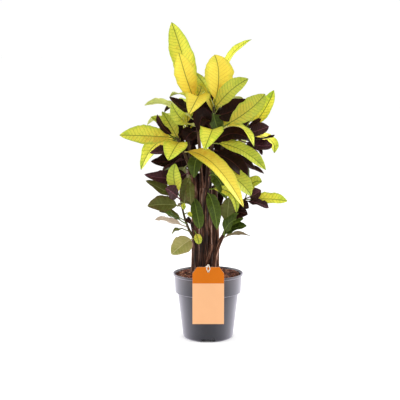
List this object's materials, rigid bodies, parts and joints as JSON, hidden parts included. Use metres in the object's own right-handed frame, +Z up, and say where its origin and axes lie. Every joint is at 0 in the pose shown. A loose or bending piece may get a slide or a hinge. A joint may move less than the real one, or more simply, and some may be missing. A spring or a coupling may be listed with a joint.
{
  "type": "potted croton",
  "caption": "Bushy croton with several leafy stems in a round tapered nursery pot of bark soil, with a blank hanging card on a string.",
  "frame": {"origin": "on the ground under the centre of the pot's base", "axes": "+Z up; -Y towards the front, where the card hangs; +X to the right as seen from the front"},
  "size_m": [0.4004, 0.2906, 0.7643],
  "materials": {
    "pot": "moulded polypropylene, satin",
    "soil": "rough bark chips",
    "foliage": "semi-gloss leaves on woody canes",
    "card": "matt printed card, blank",
    "string": "matt twisted string"
  },
  "bodies": {
    "root": {"pot": "pot", "soil": "soil", "stem_left": "foliage", "stem_low_left": "foliage", "stem_front": "foliage", "stem_top_left": "foliage", "stem_top_right": "foliage", "stem_right": "foliage", "stem_low_right": "foliage", "stem_back_left": "foliage", "stem_back_right": "foliage", "tag": "card", "tag_string": "string"}
  },
  "joints": []
}
